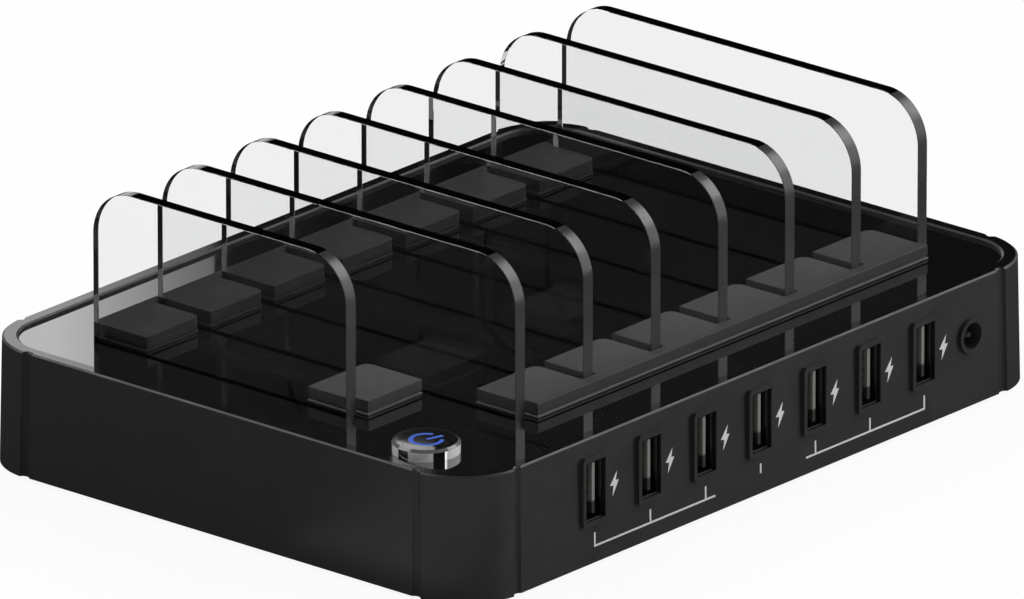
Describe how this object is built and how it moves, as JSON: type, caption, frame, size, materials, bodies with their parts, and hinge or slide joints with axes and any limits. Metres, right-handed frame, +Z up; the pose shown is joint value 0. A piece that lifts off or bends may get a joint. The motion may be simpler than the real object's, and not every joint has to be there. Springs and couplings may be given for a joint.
{
  "type": "charging station organizer",
  "caption": "Low black USB charging base with clear upright dividers in comb pads and a chrome-ringed power button.",
  "frame": {"origin": "middle of the footprint, on the surface that the feet stand on", "axes": "+X along the long side away from the button, -Y out of the socket face, +Z up"},
  "size_m": [0.1838, 0.1359, 0.0616],
  "materials": {
    "pan_black": "fine moulded texture",
    "housing_black": "satin moulded",
    "deck_gloss_black": "mirror gloss",
    "pad_grey": "soft matte",
    "clear_acrylic": "clear, polished",
    "ring_chrome": "polished",
    "cap_gloss_black": "gloss",
    "symbol_blue": "translucent",
    "switch_black": "moulded",
    "plunger_ivory": "moulded",
    "board_green": "solder mask",
    "lamp_lens": "clear",
    "lead_grey": "ribbon",
    "connector_white": "moulded",
    "socket_steel": "plated",
    "insulator_beige": "moulded",
    "contact_gold": "plated",
    "contact_tin": "tinned",
    "ferrite_grey": "sintered",
    "can_aluminium": "satin",
    "chip_black": "moulded",
    "sink_aluminium": "extruded",
    "screw_steel": "zinc plated",
    "foot_rubber": "matte"
  },
  "bodies": {
    "station": {"base_pan": "pan_black", "body_shell": "housing_black", "deck_panel": "deck_gloss_black", "front_rail": "pad_grey", "rear_rail": "pad_grey", "corner_block": "pad_grey", "tact_switch": "switch_black", "button_board": "board_green", "power_led": "lamp_lens", "button_lead": "lead_grey", "lead_connectors": "connector_white", "usb_shell_1": "socket_steel", "usb_shell_2": "socket_steel", "usb_shell_3": "socket_steel", "usb_shell_4": "socket_steel", "usb_shell_5": "socket_steel", "usb_shell_6": "socket_steel", "usb_shell_7": "socket_steel", "usb_tongue_1": "insulator_beige", "usb_tongue_2": "insulator_beige", "usb_tongue_3": "insulator_beige", "usb_tongue_4": "insulator_beige", "usb_tongue_5": "insulator_beige", "usb_tongue_6": "insulator_beige", "usb_tongue_7": "insulator_beige", "usb_contacts_1": "contact_gold", "usb_contacts_2": "contact_gold", "usb_contacts_3": "contact_gold", "usb_contacts_4": "contact_gold", "usb_contacts_5": "contact_gold", "usb_contacts_6": "contact_gold", "usb_contacts_7": "contact_gold", "main_board": "board_green", "dc_jack_body": "switch_black", "dc_jack_pin": "contact_tin", "dc_jack_spring": "contact_tin", "inductors": "ferrite_grey", "capacitors": "can_aluminium", "control_chips": "chip_black", "heat_sink": "sink_aluminium", "case_screws": "screw_steel", "board_screws": "screw_steel", "button_board_screws": "screw_steel", "foot_1": "foot_rubber", "foot_2": "foot_rubber", "foot_3": "foot_rubber", "foot_4": "foot_rubber"},
    "divider_1_body": {"divider_1": "clear_acrylic"},
    "divider_2_body": {"divider_2": "clear_acrylic"},
    "divider_3_body": {"divider_3": "clear_acrylic"},
    "divider_4_body": {"divider_4": "clear_acrylic"},
    "divider_5_body": {"divider_5": "clear_acrylic"},
    "divider_6_body": {"divider_6": "clear_acrylic"},
    "divider_7_body": {"divider_7": "clear_acrylic"},
    "divider_8_body": {"divider_8": "clear_acrylic"},
    "button": {"button_ring": "ring_chrome", "button_cap": "cap_gloss_black", "power_symbol": "symbol_blue", "tact_plunger": "plunger_ivory"}
  },
  "joints": [
    {"name": "divider_1_lift", "type": "slide", "parent": "station", "child": "divider_1_body", "axis": [0, 0, 1], "range_m": [0, 0.04]},
    {"name": "divider_2_lift", "type": "slide", "parent": "station", "child": "divider_2_body", "axis": [0, 0, 1], "range_m": [0, 0.04]},
    {"name": "divider_3_lift", "type": "slide", "parent": "station", "child": "divider_3_body", "axis": [0, 0, 1], "range_m": [0, 0.04]},
    {"name": "divider_4_lift", "type": "slide", "parent": "station", "child": "divider_4_body", "axis": [0, 0, 1], "range_m": [0, 0.04]},
    {"name": "divider_5_lift", "type": "slide", "parent": "station", "child": "divider_5_body", "axis": [0, 0, 1], "range_m": [0, 0.04]},
    {"name": "divider_6_lift", "type": "slide", "parent": "station", "child": "divider_6_body", "axis": [0, 0, 1], "range_m": [0, 0.04]},
    {"name": "divider_7_lift", "type": "slide", "parent": "station", "child": "divider_7_body", "axis": [0, 0, 1], "range_m": [0, 0.04]},
    {"name": "divider_8_lift", "type": "slide", "parent": "station", "child": "divider_8_body", "axis": [0, 0, 1], "range_m": [0, 0.04]},
    {"name": "button_press", "type": "slide", "parent": "station", "child": "button", "axis": [0, 0, -1], "range_m": [0, 0.0008], "stiffness_N_per_m": 800, "springref_m": -0.0008}
  ]
}
